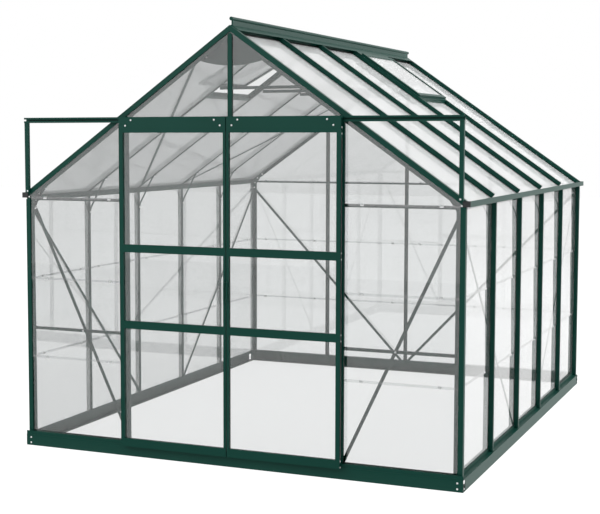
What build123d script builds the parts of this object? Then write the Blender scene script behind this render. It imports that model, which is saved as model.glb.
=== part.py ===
"""Glass greenhouse with a steep roof, two sliding front doors and two roof vents.

X runs left to right along the front, Y from the front gable to the back one, Z up.
The origin is on the ground, under the middle of the whole thing. All sizes in mm.
"""

import os
from math import cos, radians, sin, tan

from build123d import *

os.makedirs("parts", exist_ok=True)

# Overall sizes
base_width = 2570.0
base_length = 3173.0
eaves_height = 1453.0
roof_pitch = 35.1
side_bays = 5
gable_bays = 4

# Base rail, a channel open to the inside with a guide rib on the front one
base_height = 63.5
base_depth = 40.0
base_wall = 2.5
base_side_reach = 8.0
base_front_reach = 16.0
base_back_reach = 5.0
rib_height = 20.0
rib_thickness = 3.0
rib_setback = 2.0

# Sections shared by posts, bars and rafters
frame_depth = 33.0
nose_thickness = 2.5
bar_nose = 25.0
bar_body = 18.0
bar_body_depth = 24.0
bar_body_wall = 2.0
bar_web = 3.0
bar_seat = 20.0
bar_channel = 14.0
channel_wall = 2.0
seat_thickness = 2.0
post_nose = 27.0
post_core = 22.0
post_wall = 2.5

# Glass
glass = 3.0
glass_gap = 0.3
glass_lap = 12.0
edge_gap = 0.5
row_heights = (510.0, 960.0)
roof_lap_place = 800.0

# Sill
sill_height = 18.0
sill_groove = 10.0
sill_wall = 2.5

# Eaves and gutter
gutter_reach = 23.0
gutter_depth = 30.0
gutter_wall = 2.5
roof_rise = 1.5
seat_flange = 10.0
bar_foot_inset = 12.0
pane_foot_inset = 2.0
cap_plate = 4.0
cap_cover = 15.0
cap_plug = 15.0
cap_clearance = 0.5

# Ridge
ridge_web = 8.0
ridge_web_depth = 45.0
wing_length = 86.0
wing_thickness = 2.5
crest_height = 45.0
crest_radius = 10.0
ridge_inset = 20.0
ridge_joint_index = 3
joint_gap = 0.5

# Header over the doors, rails and ties of the gables
header_drop = 34.5
header_height = 40.0
rail_setback = 13.0
eaves_tie_drop = 35.0
eaves_tie_size = 16.0
lower_rail_height = 679.0
lower_rail_size = 15.0
back_tie_size = 12.0

# Flat braces, ties, struts and gusset plates
brace_width = 18.0
brace_thickness = 2.5
brace_end = 20.0
brace_drop = 5.0
brace_foot_rise = 12.0
collar_drop = 302.0
collar_width = 18.0
collar_thickness = 3.0
knee_leg = 200.0
knee_width = 14.0
knee_thickness = 4.0
knee_flange = 30.0
knee_bend = 60.0
gusset_thickness = 3.0
gusset_leg = 58.0
gusset_reach = 130.0
gusset_hollow = 6.0
gusset_lip = 6.0
apex_plate_reach = 185.0
apex_plate_drop = 12.0
apex_plate_belly = 27.0

# Roof vents
vent_end = 568.0
vent_side = 26.0
vent_height = 14.0
vent_margin = 2.0
vent_sill_width = 25.0
vent_angle = 6.5
left_vent_index = 2
right_vent_index = 4

# Sliding doors and their track
door_cover = 12.25
door_gap = 5.0
door_bottom = 62.0
door_depth = 22.0
door_standoff = 29.0
outer_stile = 24.0
meeting_stile = 14.0
top_rail = 85.0
bottom_rail = 45.0
middle_rail = 43.0
middle_rail_bottoms = (719.0, 1139.5)
door_wall = 2.0
groove_depth = 8.0
pane_inset = 6.0
track_inset = 9.0
track_height = 29.5
track_depth = 24.0
track_wall = 2.0
track_lip = 10.0
support_width = 22.0
support_depth = 20.0
support_wall = 2.5
roller_radius = 11.5
roller_width = 8.0
roller_inset = 60.0
roller_gap = 0.3
axle_radius = 3.0
guide_length = 50.0
guide_height = 26.0
guide_clearance = 5.0
guide_leg = 3.7
handle_width = 10.0
handle_height = 104.0
handle_reach = 12.0
handle_middle = 950.0

# Places worked out from the sizes above
pitch = radians(roof_pitch)
wall_x = base_width / 2 - base_side_reach
wall_length = base_length - base_front_reach - base_back_reach
front_reach = door_standoff + door_depth + handle_reach
front_y = (front_reach - wall_length - base_back_reach) / 2
back_y = front_y + wall_length
side_bay = (wall_length - frame_depth) / side_bays
gable_bay = (2 * wall_x - frame_depth) / gable_bays
slope_drop = frame_depth / cos(pitch)
apex_z = eaves_height + roof_rise + wall_x * tan(pitch)
pane_space = 2 * glass + 3 * glass_gap
seat_depth = nose_thickness + pane_space
cover_seat = bar_body_depth + pane_space
plate_cover = cover_seat + edge_gap
sill_ledge = bar_body_depth - sill_wall
sill_top = base_height + sill_height
eaves_floor = eaves_height - gutter_depth
side_bars = [front_y + frame_depth / 2 + side_bay * n for n in range(side_bays + 1)]
gable_bars = [gable_bay * (n - gable_bays / 2) for n in range(gable_bays + 1)]
door_post_x = gable_bars[-2]
door_edge = door_post_x + door_cover
track_half = wall_x - track_inset


def roof_z(x):
    """Height of the outside of the roof bars at x."""
    return apex_z - abs(x) * tan(pitch)


def slope_to(x):
    """Distance down the roof from the apex to x."""
    return abs(x) / cos(pitch)


header_top = roof_z(door_post_x) - header_drop
collar_height = apex_z - collar_drop
eaves_tie_height = eaves_height - eaves_tie_drop


def roof_normal(side):
    return Vector(side * sin(pitch), 0, cos(pitch))


def roof_frame(side):
    """Plane on the roof: x along the ridge, y up the slope, z out, from the apex."""
    return Plane(origin=(0, 0, apex_z), x_dir=(0, side, 0), z_dir=roof_normal(side))


def wall_frame(side):
    """Plane on a side wall's outside: x along it, y up, z out, from the ground."""
    return Plane(origin=(side * wall_x, 0, 0), x_dir=(0, side, 0), z_dir=(side, 0, 0))


front_frame = Plane(origin=(0, front_y, 0), x_dir=(1, 0, 0), z_dir=(0, -1, 0))
back_frame = Plane(origin=(0, back_y, 0), x_dir=(-1, 0, 0), z_dir=(0, 1, 0))


def along(start, end, outward):
    """Section plane at start: z runs to end, y points outward.

    On level runs that go round the building anticlockwise, x points up.
    """
    start, end = Vector(start), Vector(end)
    run = (end - start).normalized()
    return Plane(origin=start, x_dir=Vector(outward).cross(run), z_dir=run)


def front_view(y):
    """Upright plane across the building at y, seen from the front."""
    return Plane(origin=(0, y, 0), x_dir=(1, 0, 0), z_dir=(0, -1, 0))


def length_of(start, end):
    return (Vector(end) - Vector(start)).length


def under_roof(side):
    """Plane on the inside of the roof bars, facing out."""
    return Plane(origin=(0, 0, apex_z - slope_drop), z_dir=roof_normal(side))


def keep(piece, name):
    """Label a finished piece and write it to its own file."""
    piece.part.label = name
    export_step(piece.part, f"parts/{name}.step")


# Sections, drawn with the outside of the wall or roof along y = 0
with BuildSketch() as bar_section:
    with BuildLine():
        half = [
            (0, 0),
            (bar_nose / 2, 0),
            (bar_nose / 2, -nose_thickness),
            (bar_web / 2, -nose_thickness),
            (bar_web / 2, -seat_depth),
            (bar_seat / 2, -seat_depth),
            (bar_seat / 2, -seat_depth - seat_thickness),
            (bar_channel / 2, -seat_depth - seat_thickness),
            (bar_channel / 2, -frame_depth),
            (bar_channel / 4, -frame_depth),
            (bar_channel / 4, channel_wall - frame_depth),
            (bar_channel / 2 - channel_wall, channel_wall - frame_depth),
            (bar_channel / 2 - channel_wall, -seat_depth - 2 * seat_thickness),
            (0, -seat_depth - 2 * seat_thickness),
        ]
        Polyline(*half)
        Polyline(*[(-x, y) for x, y in half])
    make_face()

with BuildSketch() as wall_bar_section:
    with BuildLine():
        half = [
            (0, 0),
            (bar_body / 2, 0),
            (bar_body / 2, -bar_body_depth),
            (bar_web / 2, -bar_body_depth),
            (bar_web / 2, -cover_seat),
            (bar_seat / 2, -cover_seat),
            (bar_seat / 2, -frame_depth),
            (0, -frame_depth),
        ]
        Polyline(*half)
        Polyline(*[(-x, y) for x, y in half])
    make_face()
    with Locations((0, -bar_body_depth / 2)):
        hollow = (bar_body - 2 * bar_body_wall, bar_body_depth - 2 * bar_body_wall)
        Rectangle(*hollow, mode=Mode.SUBTRACT)

# Corner section: gable side along x = 0 with the glass near it, other side along y = 0
with BuildSketch() as corner_section:
    with BuildLine():
        Polyline(
            (0, 0),
            (-post_nose, 0),
            (-post_nose, -bar_body_depth),
            (-post_core, -bar_body_depth),
            (-post_core, -cover_seat),
            (-frame_depth, -cover_seat),
            (-frame_depth, -frame_depth),
            (-seat_depth, -frame_depth),
            (-seat_depth, -post_core),
            (-nose_thickness, -post_core),
            (-nose_thickness, -post_nose),
            (0, -post_nose),
            close=True,
        )
    make_face()
    with Locations((-post_nose / 2, -post_core / 2)):
        Rectangle(post_nose - 2 * post_wall, post_core - 2 * post_wall, mode=Mode.SUBTRACT)


def base_rail(start, end, outward, rib=False):
    """Channel from start to end, its tall side facing outward."""
    with BuildPart() as rail:
        with BuildSketch(along(start, end, outward)):
            with BuildLine():
                Polyline(
                    (0, 0),
                    (base_height, 0),
                    (base_height, -base_depth),
                    (base_height - base_wall, -base_depth),
                    (base_height - base_wall, -base_wall),
                    (base_wall, -base_wall),
                    (base_wall, -base_depth),
                    (0, -base_depth),
                    close=True,
                )
            make_face()
            if rib:
                middle = (base_height + rib_height / 2, -rib_setback - rib_thickness / 2)
                with Locations(middle):
                    Rectangle(rib_height, rib_thickness)
        extrude(amount=length_of(start, end))
    return rail


# Base
half_base = base_width / 2
front_base_y = front_y - base_front_reach
back_base_y = back_y + base_back_reach
front_corners = [(side * half_base, front_base_y, 0) for side in (-1, 1)]
back_corners = [(side * half_base, back_base_y, 0) for side in (1, -1)]
base_front = base_rail(*front_corners, (0, -1, 0), rib=True)
base_back = base_rail(*back_corners, (0, 1, 0))
inner_front_y = front_base_y + base_depth
inner_back_y = back_base_y - base_depth
base_left = base_rail((-half_base, inner_back_y, 0), (-half_base, inner_front_y, 0), (-1, 0, 0))
base_right = base_rail((half_base, inner_front_y, 0), (half_base, inner_back_y, 0), (1, 0, 0))
keep(base_front, "base_front")
keep(base_back, "base_back")
keep(base_left, "base_left")
keep(base_right, "base_right")

# Sills between the posts, with a groove that the lowest panes stand in
inner_x = wall_x - frame_depth
post_edge = door_post_x + bar_nose / 2
gable_sills = [
    ((post_edge, front_y), (inner_x, front_y), (0, -1, 0)),
    ((-inner_x, front_y), (-post_edge, front_y), (0, -1, 0)),
    ((inner_x, back_y), (-inner_x, back_y), (0, 1, 0)),
]
side_sills = [
    ((-wall_x, back_y - frame_depth), (-wall_x, front_y + frame_depth), (-1, 0, 0)),
    ((wall_x, front_y + frame_depth), (wall_x, back_y - frame_depth), (1, 0, 0)),
]
with BuildPart() as sills:
    for cover, runs in ((nose_thickness, gable_sills), (bar_body_depth, side_sills)):
        for start, end, outward in runs:
            start, end = (*start, base_height), (*end, base_height)
            with BuildSketch(along(start, end, outward)):
                with BuildLine():
                    Polyline(
                        (0, sill_wall - cover),
                        (sill_height, sill_wall - cover),
                        (sill_height, -cover),
                        (sill_height - sill_groove, -cover),
                        (sill_height - sill_groove, -cover - pane_space),
                        (sill_height, -cover - pane_space),
                        (sill_height, -frame_depth),
                        (0, -frame_depth),
                        close=True,
                    )
                make_face()
                inner_width = frame_depth - cover - pane_space
                if inner_width > 2 * sill_wall:
                    with Locations((sill_height / 2, inner_width / 2 - frame_depth)):
                        hollow = (sill_height - 2 * sill_wall, inner_width - 2 * sill_wall)
                        Rectangle(*hollow, mode=Mode.SUBTRACT)
            extrude(amount=length_of(start, end))
keep(sills, "sills")

# Corner posts, cut to the slope under the rafters
with BuildPart() as corner_posts:
    top_corner = Plane(origin=(wall_x, back_y, apex_z), x_dir=(0, 1, 0), z_dir=(0, 0, -1))
    with BuildSketch(top_corner):
        add(corner_section.sketch)
    extrude(amount=apex_z - base_height)
    split(bisect_by=under_roof(1), keep=Keep.BOTTOM)
    mirror(about=Plane.YZ)
    mirror(about=Plane(origin=(0, (front_y + back_y) / 2, 0), z_dir=(0, 1, 0)))
keep(corner_posts, "corner_posts")


def wall_bars(side):
    """Glazing bars of a side wall, from the base to the eaves, notched over the sill."""
    with BuildPart() as bars:
        for y in side_bars[1:-1]:
            foot = (side * wall_x, y, base_height)
            with BuildSketch(along(foot, (side * wall_x, y, eaves_floor), (side, 0, 0))):
                add(wall_bar_section.sketch)
            extrude(amount=eaves_floor - base_height)
        notch_x = side * (wall_x - (frame_depth + sill_ledge) / 2)
        with Locations((notch_x, (front_y + back_y) / 2, base_height + sill_height / 2)):
            Box(frame_depth - sill_ledge, wall_length, sill_height, mode=Mode.SUBTRACT)
    return bars


left_wall_bars = wall_bars(-1)
right_wall_bars = wall_bars(1)
keep(left_wall_bars, "left_wall_bars")
keep(right_wall_bars, "right_wall_bars")


def gable_posts(places, y, foot, outward):
    """Upright bars of a gable, from foot up to the rafters."""
    with BuildPart() as posts:
        for x in places:
            with BuildSketch(along((x, y, foot), (x, y, apex_z), outward)):
                add(bar_section.sketch)
            extrude(amount=apex_z - foot)
        for side in (-1, 1):
            split(bisect_by=under_roof(side), keep=Keep.BOTTOM)
    return posts


back_wall_bars = gable_posts(gable_bars[1:-1], back_y, sill_top, (0, 1, 0))
door_posts = gable_posts((-door_post_x, door_post_x), front_y, base_height, (0, -1, 0))
king_post = gable_posts((0,), front_y, header_top, (0, -1, 0))
keep(back_wall_bars, "back_wall_bars")
keep(door_posts, "door_posts")
keep(king_post, "king_post")

# Eaves with their gutter, notched at the ends for the corner posts and rafters
flange_top = roof_rise - slope_drop + frame_depth * tan(pitch)
flange_end = frame_depth - seat_flange
flange_low = roof_rise - slope_drop + flange_end * tan(pitch)
flange_drop = gutter_wall / cos(pitch)
inner_face = frame_depth - gutter_wall
flange_foot = roof_rise - slope_drop - flange_drop + inner_face * tan(pitch)


def eaves(side):
    """Gutter and wall plate of one side in one profile."""
    start, end = (side * wall_x, front_y, eaves_height), (side * wall_x, back_y, eaves_height)
    with BuildPart() as profile:
        with BuildSketch(Plane(origin=start, x_dir=(side, 0, 0), z_dir=(0, -side, 0))):
            with BuildLine():
                Polyline(
                    (gutter_reach, 0),
                    (gutter_reach, -gutter_depth),
                    (-frame_depth, -gutter_depth),
                    (-frame_depth, flange_top),
                    (-flange_end, flange_low),
                    (-flange_end, flange_low - flange_drop),
                    (-inner_face, flange_foot),
                    (-inner_face, gutter_wall - gutter_depth),
                    (gutter_reach - gutter_wall, gutter_wall - gutter_depth),
                    (gutter_reach - gutter_wall, 0),
                    close=True,
                )
            make_face()
        extrude(amount=-side * length_of(start, end))
        notch = (frame_depth, frame_depth, 4 * gutter_depth)
        notch_x = side * (wall_x - frame_depth / 2)
        with Locations(
            (notch_x, front_y + frame_depth / 2, eaves_height),
            (notch_x, back_y - frame_depth / 2, eaves_height),
        ):
            Box(*notch, mode=Mode.SUBTRACT)
    return profile


left_eaves = eaves(-1)
right_eaves = eaves(1)
keep(left_eaves, "left_eaves")
keep(right_eaves, "right_eaves")

# Plastic caps on the gutter ends: a plate outside, a plug in the gutter
cap_reach = gutter_reach + cap_clearance
plug_width = gutter_reach - gutter_wall - 2 * cap_clearance
plug_height = gutter_depth - gutter_wall - 2 * cap_clearance
with BuildPart() as gutter_end_caps:
    for end_y, outward in ((front_y, -1), (back_y, 1)):
        plate_middle = (wall_x + (cap_reach - cap_cover) / 2, end_y + outward * cap_plate / 2)
        with Locations((*plate_middle, eaves_height - gutter_depth / 2)):
            Box(cap_reach + cap_cover, cap_plate, gutter_depth)
        plug_middle = (wall_x + cap_clearance + plug_width / 2, end_y - outward * cap_plug / 2)
        with Locations((*plug_middle, eaves_height - (gutter_depth - gutter_wall) / 2)):
            Box(plug_width, cap_plug, plug_height)
    mirror(about=Plane.YZ)
keep(gutter_end_caps, "gutter_end_caps")


def gable_rafters(y, inward):
    """Pair of rafters over a gable, mitred at the ridge, cut plumb at the eaves."""
    with BuildPart() as rafters:
        outside = roof_normal(1)
        foot_x = wall_x + frame_depth
        foot = Vector(foot_x, y, roof_z(foot_x))
        top = Vector(0, y, apex_z)
        turned = along(foot, top, outside) if inward > 0 else along(top, foot, outside)
        with BuildSketch(turned):
            add(corner_section.sketch)
        extrude(amount=length_of(foot, top))
        split(bisect_by=Plane(origin=(wall_x, 0, 0), z_dir=(1, 0, 0)), keep=Keep.BOTTOM)
        split(bisect_by=Plane(origin=(joint_gap / 2, 0, 0), z_dir=(1, 0, 0)), keep=Keep.TOP)
        mirror(about=Plane.YZ)
    return rafters


front_rafters = gable_rafters(front_y, 1)
back_rafters = gable_rafters(back_y, -1)
keep(front_rafters, "front_rafters")
keep(back_rafters, "back_rafters")


def roof_bars(side):
    """Glazing bars of one slope, from the eaves flange to the ridge web."""
    with BuildPart() as bars:
        for y in side_bars[1:-1]:
            foot_x = side * (wall_x - bar_foot_inset)
            foot = (foot_x, y, roof_z(foot_x))
            top = (0, y, apex_z)
            with BuildSketch(along(foot, top, roof_normal(side))):
                add(wall_bar_section.sketch)
            extrude(amount=length_of(foot, top))
        split(bisect_by=Plane(origin=(side * ridge_web / 2, 0, 0), z_dir=(side, 0, 0)), keep=Keep.TOP)
    return bars


left_roof_bars = roof_bars(-1)
right_roof_bars = roof_bars(1)
keep(left_roof_bars, "left_roof_bars")
keep(right_roof_bars, "right_roof_bars")

# Ridge in two lengths: web between the bars, wings over them, upstand and crest
wing_x, wing_z = wing_length * cos(pitch), wing_length * sin(pitch)
lift_x, lift_z = wing_thickness * sin(pitch), wing_thickness * cos(pitch)
shoulder = wing_thickness / cos(pitch) - ridge_web / 2 * tan(pitch)
crest_middle = crest_height - crest_radius
joint_y = side_bars[ridge_joint_index]
cap_ends = (front_y + ridge_inset, joint_y, back_y - ridge_inset)
web_ends = (front_y + frame_depth, joint_y, back_y - frame_depth)
with BuildPart() as ridge:
    for n in (0, 1):
        cap_start = cap_ends[n] + n * joint_gap
        web_start = web_ends[n] + n * joint_gap
        with BuildSketch(Plane(origin=(0, cap_start, apex_z), x_dir=(-1, 0, 0), z_dir=(0, 1, 0))):
            with BuildLine():
                right_half = [
                    (0, 0),
                    (wing_x, -wing_z),
                    (wing_x + lift_x, lift_z - wing_z),
                    (ridge_web / 2, shoulder),
                    (ridge_web / 2, crest_middle),
                    (0, crest_middle),
                ]
                Polyline(*right_half)
                Polyline(*[(-x, z) for x, z in right_half])
            make_face()
            with Locations((0, crest_middle)):
                Circle(crest_radius)
        extrude(amount=cap_ends[n + 1] - cap_start)
        with BuildSketch(Plane(origin=(0, web_start, apex_z), x_dir=(-1, 0, 0), z_dir=(0, 1, 0))):
            with Locations((0, -ridge_web_depth / 2)):
                Rectangle(ridge_web, ridge_web_depth)
        extrude(amount=web_ends[n + 1] - web_start)
keep(ridge, "ridge")

# Header over the doorway, a channel open to the inside
header_half = door_post_x - bar_nose / 2
with BuildPart() as door_header:
    header_start, header_end = (-header_half, front_y, header_top), (header_half, front_y, header_top)
    with BuildSketch(along(header_start, header_end, (0, -1, 0))):
        with BuildLine():
            Polyline(
                (-header_height, 0),
                (0, 0),
                (0, -frame_depth),
                (-nose_thickness, -frame_depth),
                (-nose_thickness, -nose_thickness),
                (nose_thickness - header_height, -nose_thickness),
                (nose_thickness - header_height, -frame_depth),
                (-header_height, -frame_depth),
                close=True,
            )
        make_face()
    extrude(amount=2 * header_half)
    for side in (-1, 1):
        split(bisect_by=under_roof(side), keep=Keep.BOTTOM)
keep(door_header, "door_header")

# Rails of the front side panels, between corner post and door post
rail_depth = frame_depth - rail_setback
rail_start = door_post_x + bar_channel / 2
with BuildPart() as front_rails:
    for size, middle in ((eaves_tie_size, eaves_tie_height), (lower_rail_size, lower_rail_height)):
        for side in (-1, 1):
            with Locations(
                (side * (rail_start + inner_x) / 2, front_y + rail_setback + rail_depth / 2, middle)
            ):
                Box(inner_x - rail_start, rail_depth, size)
keep(front_rails, "front_rails")

# Tie across the back gable, carried by the gusset plates in its corners
with BuildPart() as back_tie:
    tie_y = back_y - frame_depth - gusset_thickness - brace_thickness / 2
    with Locations((0, tie_y, eaves_tie_height)):
        Box(2 * (inner_x - edge_gap), brace_thickness, back_tie_size)
keep(back_tie, "back_tie")


def brace(start, end, inward):
    """Face for a flat strip from start to end, lying on the inside of the frame."""
    with BuildPart() as strip:
        with BuildSketch(along(start, end, inward)):
            with Locations((0, brace_thickness / 2)):
                Rectangle(brace_width, brace_thickness)
        extrude(amount=length_of(start, end))
    return strip.part


# Braces of the four walls
front_in = front_y + frame_depth
back_in = back_y - frame_depth
brace_top = eaves_floor - gusset_leg - brace_drop
brace_foot = base_height + brace_foot_rise
with BuildPart() as wall_braces:
    for side in (-1, 1):
        corner_x = side * (inner_x - brace_width / 2 - brace_thickness)
        add(brace((corner_x, front_in, brace_top), (side * door_post_x, front_in, brace_foot), (0, 1, 0)))
        foot_x = side * brace_end
        add(brace((corner_x, back_in, brace_top), (foot_x, back_in, brace_foot), (0, -1, 0)))
        face_x = side * inner_x
        for start_bar, foot_bar in ((0, 2), (side_bays, side_bays - 2)):
            start = (face_x, side_bars[start_bar], brace_top)
            add(brace(start, (face_x, side_bars[foot_bar], brace_foot), (-side, 0, 0)))
keep(wall_braces, "wall_braces")

# Braces under the roof, from the ridge ends down to the eaves
with BuildPart() as roof_braces:
    for side in (-1, 1):
        inward = roof_normal(side) * -1
        high_x = side * (apex_plate_reach + brace_end)
        low_x = side * (inner_x - brace_end)
        for start_bar, foot_bar in ((0, 2), (side_bays, side_bays - 2)):
            start = (high_x, side_bars[start_bar], roof_z(high_x) - slope_drop)
            end = (low_x, side_bars[foot_bar], roof_z(low_x) - slope_drop)
            add(brace(start, end, inward))
keep(roof_braces, "roof_braces")

# Collar ties under the roof bars
collar_top = collar_height + collar_width / 2
collar_half = (apex_z - slope_drop - collar_top) / tan(pitch)
with BuildPart() as collar_ties:
    for y in side_bars[1:-1]:
        with Locations((0, y, collar_height)):
            Box(2 * collar_half, collar_thickness, collar_width)
keep(collar_ties, "collar_ties")

# Knee struts between wall bars and roof bars: flange, curved strut, flange
knee_top_x = inner_x - knee_leg * cos(pitch)
knee_foot_z = eaves_floor - knee_leg
with BuildPart() as knee_struts:
    for y in side_bars[1:-1]:
        with BuildSketch(front_view(y + knee_width / 2)):
            with BuildLine():
                foot_low = (inner_x - knee_thickness / 2, knee_foot_z - knee_flange)
                foot_high = (inner_x - knee_thickness / 2, knee_foot_z)
                under_x = knee_thickness / 2 * sin(pitch)
                under_z = slope_drop + knee_thickness / 2 * cos(pitch)
                top_low = (knee_top_x - under_x, roof_z(knee_top_x) - under_z)
                far_x = knee_top_x - knee_flange * cos(pitch)
                top_high = (far_x - under_x, roof_z(far_x) - under_z)
                FilletPolyline(foot_low, foot_high, top_low, top_high, radius=knee_bend)
            trace(line_width=knee_thickness)
        extrude(amount=knee_width)
    mirror(about=Plane.YZ)
keep(knee_struts, "knee_struts")

# Gusset plates inside the four gable corners, with a hollow inner edge
with BuildPart() as corner_gussets:
    for y, inward in ((front_in, 1), (back_in, -1)):
        with BuildSketch(front_view(y)):
            with BuildLine():
                plate_x = wall_x - plate_cover
                step_x = inner_x - edge_gap
                step_z = eaves_floor - edge_gap
                low_z = eaves_floor - gusset_leg
                high_x = inner_x - gusset_reach * cos(pitch)
                line_z = plate_cover / cos(pitch)
                foot = (inner_x - gusset_lip, low_z)
                head = (high_x, roof_z(high_x) - slope_drop - gusset_lip)
                Polyline(
                    foot,
                    (plate_x, low_z),
                    (plate_x, step_z),
                    (step_x, step_z),
                    (step_x, roof_z(step_x) - line_z),
                    (high_x, roof_z(high_x) - line_z),
                    head,
                )
                waist = tuple((a + b) / 2 + gusset_hollow for a, b in zip(head, foot))
                ThreePointArc(head, waist, foot)
            make_face()
        extrude(amount=-inward * gusset_thickness)
    mirror(about=Plane.YZ)
keep(corner_gussets, "corner_gussets")

# Gusset plates under the apex, with a bellied lower edge
with BuildPart() as apex_gussets:
    for y, inward in ((front_in, 1), (back_in, -1)):
        with BuildSketch(front_view(y)):
            with BuildLine():
                plate_top = apex_z - ridge_web_depth - joint_gap
                line_z = plate_cover / cos(pitch)
                top_x = (apex_z - line_z - plate_top) / tan(pitch)
                low_z = roof_z(apex_plate_reach) - slope_drop - apex_plate_drop
                Polyline(
                    (apex_plate_reach, low_z),
                    (apex_plate_reach, roof_z(apex_plate_reach) - line_z),
                    (top_x, plate_top),
                    (-top_x, plate_top),
                    (-apex_plate_reach, roof_z(apex_plate_reach) - line_z),
                    (-apex_plate_reach, low_z),
                )
                belly = (0, low_z - apex_plate_belly)
                ThreePointArc((-apex_plate_reach, low_z), belly, (apex_plate_reach, low_z))
            make_face()
        extrude(amount=-inward * gusset_thickness)
keep(apex_gussets, "apex_gussets")


def pane_plane(frame, seat, middle, low, high, lapped):
    """Plane on the inner face of a pane whose foot laps over the pane below."""
    inner = glass_gap - seat
    step = glass + glass_gap if lapped else 0
    foot = frame.from_local_coords(Vector(middle, low, inner + step))
    head = frame.from_local_coords(Vector(middle, high, inner))
    up = (head - foot).normalized()
    return Plane(origin=foot, x_dir=frame.x_dir, z_dir=frame.x_dir.cross(up)), (head - foot).length


def panes(frame, seat, columns, rows):
    """Overlapping panes on a seat this deep, in every column, from the lowest row up."""
    with BuildPart() as sheet:
        for left, right in columns:
            for row, (low, high) in enumerate(rows):
                plane, height = pane_plane(frame, seat, (left + right) / 2, low, high, row > 0)
                with BuildSketch(plane):
                    with Locations((0, height / 2)):
                        Rectangle(right - left, height)
                extrude(amount=glass)
    return sheet.part


def rows_between(low, high, laps):
    """Heights of the rows, each reaching a lap above the foot of the next."""
    feet = [low, *laps]
    heads = [lap + glass_lap for lap in laps] + [high]
    return list(zip(feet, heads))


half_edge = bar_web / 2 + edge_gap
corner_edge = frame_depth / 2 - post_core - edge_gap
glass_foot = base_height + sill_height - sill_groove + glass_gap


def columns_between(places):
    """Glass columns between bar lines, whose first and last are corner posts."""
    columns = []
    for n in range(len(places) - 1):
        low = places[n] + half_edge if n else places[n] - corner_edge
        high = places[n + 1] - half_edge if n < len(places) - 2 else places[n + 1] + corner_edge
        columns.append((low, high))
    return columns


wall_rows = rows_between(glass_foot, eaves_floor - glass_gap, row_heights)
for side, name in ((-1, "left_wall_glass"), (1, "right_wall_glass")):
    places = sorted(side * y for y in side_bars)
    with BuildPart() as wall_glass:
        add(panes(wall_frame(side), cover_seat, columns_between(places), wall_rows))
    keep(wall_glass, name)

# Roof glass, one pane short where a vent opens
roof_foot = -slope_to(wall_x - pane_foot_inset)
roof_head = -slope_to(ridge_web / 2 + edge_gap + cover_seat * sin(pitch))
vent_sill_low = -vent_end - vent_sill_width / 2
for side, vent_bay, name in (
    (-1, left_vent_index, "left_roof_glass"),
    (1, right_vent_index, "right_roof_glass"),
):
    places = sorted(side * y for y in side_bars)
    columns = columns_between(places)
    vent_column = vent_bay - 1 if side > 0 else side_bays - vent_bay
    whole = [column for n, column in enumerate(columns) if n != vent_column]
    full_rows = rows_between(roof_foot, roof_head, [-roof_lap_place])
    short_rows = rows_between(roof_foot, vent_sill_low - edge_gap, [-roof_lap_place])
    with BuildPart() as roof_glass:
        add(panes(roof_frame(side), cover_seat, whole, full_rows))
        add(panes(roof_frame(side), cover_seat, [columns[vent_column]], short_rows))
    keep(roof_glass, name)


def gable_glass(frame, columns, laps, foot):
    """Panes of a gable, the top one cut to the slope under the rafters."""
    slope_cover = post_core + edge_gap
    with BuildPart() as sheet:
        for left, right in columns:
            low = laps[-1] if laps else foot
            inner = glass_gap - seat_depth
            tops = [roof_z(x) - slope_cover / cos(pitch) for x in (left, right)]
            step = glass + glass_gap if laps else 0
            with BuildSketch(frame.offset(inner + step)):
                with BuildLine():
                    Polyline((left, low), (right, low), (right, tops[1]), (left, tops[0]), close=True)
                make_face()
            extrude(amount=glass)
            if laps:
                rows = rows_between(foot, laps[-1] + glass_lap, laps[:-1])
                add(panes(frame, seat_depth, [(left, right)], rows))
    return sheet.part


gable_laps = (*row_heights, eaves_tie_height)
with BuildPart() as back_glass:
    add(gable_glass(back_frame, columns_between(gable_bars), gable_laps, glass_foot))
keep(back_glass, "back_glass")

side_panel = (gable_bars[-2] + half_edge, gable_bars[-1] + corner_edge)
with BuildPart() as front_glass:
    for left, right in ((-side_panel[1], -side_panel[0]), side_panel):
        add(gable_glass(front_frame, [(left, right)], gable_laps, glass_foot))
    top_edge = header_half - edge_gap
    for left, right in ((-top_edge, -half_edge), (half_edge, top_edge)):
        add(gable_glass(front_frame, [(left, right)], (), header_top + glass_gap))
keep(front_glass, "front_glass")

# Roof vents: sash frames, their glass and the sill bars under them
vent_start = wing_length + vent_margin
vent_length = vent_end - vent_start
vent_width = side_bay - 2 * vent_margin


def vent_plane(side, bay, opening):
    """Plane on the underside of a sash: y runs up the slope from its hinge edge."""
    middle = (side_bars[bay - 1] + side_bars[bay]) / 2
    frame = roof_frame(side)
    hinge = frame.from_local_coords(Vector(side * middle, -vent_start, 0))
    turn = radians(opening)
    out = frame.z_dir * cos(turn) + frame.y_dir * sin(turn)
    return Plane(origin=hinge, x_dir=frame.x_dir, z_dir=out)


def vent_sash(plane):
    with BuildPart() as sash:
        with BuildSketch(plane):
            with Locations((0, -vent_length / 2)):
                Rectangle(vent_width, vent_length)
                Rectangle(vent_width - 2 * vent_side, vent_length - 2 * vent_side, mode=Mode.SUBTRACT)
        extrude(amount=vent_height)
        with BuildSketch(plane.offset((vent_height - glass) / 2 - glass_gap)):
            with Locations((0, -vent_length / 2)):
                groove = 2 * (vent_side - groove_depth)
                Rectangle(vent_width - groove, vent_length - groove)
        extrude(amount=glass + 2 * glass_gap, mode=Mode.SUBTRACT)
    return sash


left_vent_plane = vent_plane(-1, left_vent_index, vent_angle)
right_vent_plane = vent_plane(1, right_vent_index, 0)
left_vent = vent_sash(left_vent_plane)
right_vent = vent_sash(right_vent_plane)
keep(left_vent, "left_vent")
keep(right_vent, "right_vent")

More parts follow.
